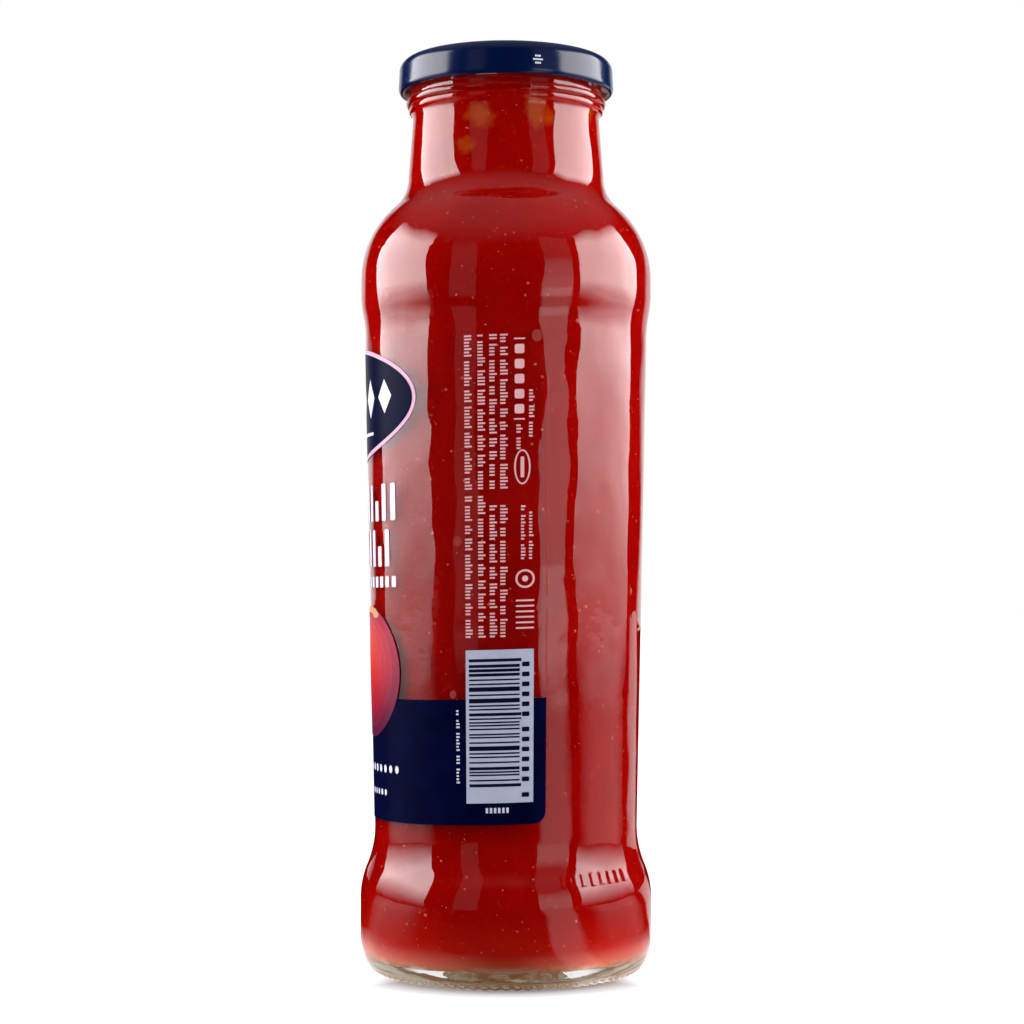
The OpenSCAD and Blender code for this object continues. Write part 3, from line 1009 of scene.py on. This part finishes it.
def addLamp(name, azimuth, distance, z, width, height, radiance, fade):
    data = bpy.data.lights.new(name, "AREA")
    data.shape = "RECTANGLE"
    data.size = width
    data.size_y = height
    data.energy = math.pi * width * height
    t = NodeTree(data, "Light")
    place = t.node("NewGeometry", out="Parametric")
    up = t.node("SeparateXYZ", values={"Vector": place}, out="Y")
    glow = up.step(*fade[:2]) ** 1.25 * (1 - up.step(*fade[2:4]) * fade[4]) * radiance
    t.show(t.node("Emission", values={"Strength": glow}))
    lamp = bpy.data.objects.new(name, data)
    bpy.context.collection.objects.link(lamp)
    lamp.location = outFrom(azimuth, distance, z)
    lamp.rotation_euler = (Vector((0, 0, z)) - lamp.location).to_track_quat("-Z", "Y").to_euler()
    lamp.visible_camera = False
    return lamp


def makeLamps():
    az = camera["azimuth"]
    tall = studio["boxHeight"]
    for name, turn, width, radiance in studio["boxes"]:
        addLamp(name, az + turn, studio["boxDistance"], tall / 2, width, tall, radiance,
                studio["boxFade"])
    for name, turn, width, radiance, fade in studio["panels"]:
        addLamp(name, az + turn, studio["panelDistance"], studio["panelZ"], width,
                studio["panelHeight"], radiance, fade)


def makeWorld():
    world = bpy.data.worlds.new("studioWorld")
    bpy.context.scene.world = world
    w = NodeTree(world, "World")
    away = tuple(-outFrom(camera["azimuth"], 1, 0))
    direction = w.node("TexCoord", out="Generated")
    facing = w.node("VectorMath", {"operation": "DOT_PRODUCT"}, {0: direction, 1: away}, out="Value")
    behind = facing.step(-0.1, 0.45)
    mirrored = w.node("LightPath", out="Is Glossy Ray")
    spread = w.node("LightPath", out="Is Diffuse Ray")
    soft = behind * (studio["behind"] - studio["front"]) + studio["front"]
    sharp = facing.step(0.82, 0.9) * studio["mirrorBehind"] + studio["mirrorFront"]
    up = w.node("SeparateXYZ", values={"Vector": direction}, out="Z")
    sharp = sharp + up.step(0.5, 0.85) * studio["mirrorAbove"]
    glow = mirrored * sharp + spread * soft + (1 - mirrored - spread) * 1.0
    w.show(w.node("Background", values={"Color": (1, 1, 1, 1), "Strength": glow}))


def makeFloor():
    bm = bmesh.new()
    bmesh.ops.create_grid(bm, x_segments=1, y_segments=1, size=3)
    mesh = bpy.data.meshes.new("paleFloor")
    bm.to_mesh(mesh)
    bm.free()
    s = Surface("paleFloor")
    grain = s.noise(60, detail=2)
    mirrored = s.node("LightPath", out="Is Glossy Ray")
    bright = s.principled(Base_Color=s.mix(grain, (0.3, 0.3, 0.3, 1), (0.32, 0.32, 0.32, 1)),
                          Roughness=0.8, Specular_IOR_Level=0.1)
    across = tuple(outFrom(camera["azimuth"] + 90, 1, 0))
    aside = s.node("VectorMath", {"operation": "DOT_PRODUCT"}, {0: s.place, 1: across}, out="Value")
    reach = s.node("VectorMath", {"operation": "LENGTH"}, {0: s.place}, out="Value")
    turned = aside / reach
    beside = turned.math("ABSOLUTE", turned)
    # painted reflections: glow seen only by mirror rays, at the sides, in a band to one side and close
    # round the foot, for lit floor reflected in the glass
    sides = beside.step(0.86, 0.97) * reach.step(0.03, 0.22)
    streak = turned.step(0.48, 0.53) * (1 - turned.step(0.74, 0.79)) * 1.2
    close = beside.step(0.1, 0.85) * (1 - reach.step(0.045, 0.09)) * 1.5
    dim = s.node("Emission", values={"Strength": (sides + streak + close) * studio["floorMirror"]})
    # painted light on the floor: it glows white away from the bottle and the glow fades out close to
    # the foot, less far at the sides, which shapes the contact shadow
    far = s.node("Math", {"operation": "ADD", "use_clamp": True},
                 {0: reach.step(0.034, 0.049), 1: beside.step(0.78, 0.97)})
    shown = s.node("AddShader", values={0: bright, 1: s.node("Emission", values={
        "Strength": studio["floorGlow"] + far * (1 - studio["floorGlow"])})})
    # for every ray but camera and mirror rays the floor glows evenly at floorBelow, as a lamp from
    # below
    seen = s.node("LightPath", out="Is Camera Ray")
    lit = s.node("Emission", values={"Strength": studio["floorBelow"]})
    bright = s.node("MixShader", values={0: seen, 1: lit, 2: shown})
    mesh.materials.append(s.show(s.node("MixShader", values={0: mirrored, 1: bright, 2: dim})))
    floor = bpy.data.objects.new("paleFloor", mesh)
    bpy.context.collection.objects.link(floor)
    floor.location.z = -studio["floorDrop"]


makeCamera()
makeLamps()
makeWorld()
makeFloor()
bpy.context.scene.view_settings.view_transform = "Standard"
print("studio done")
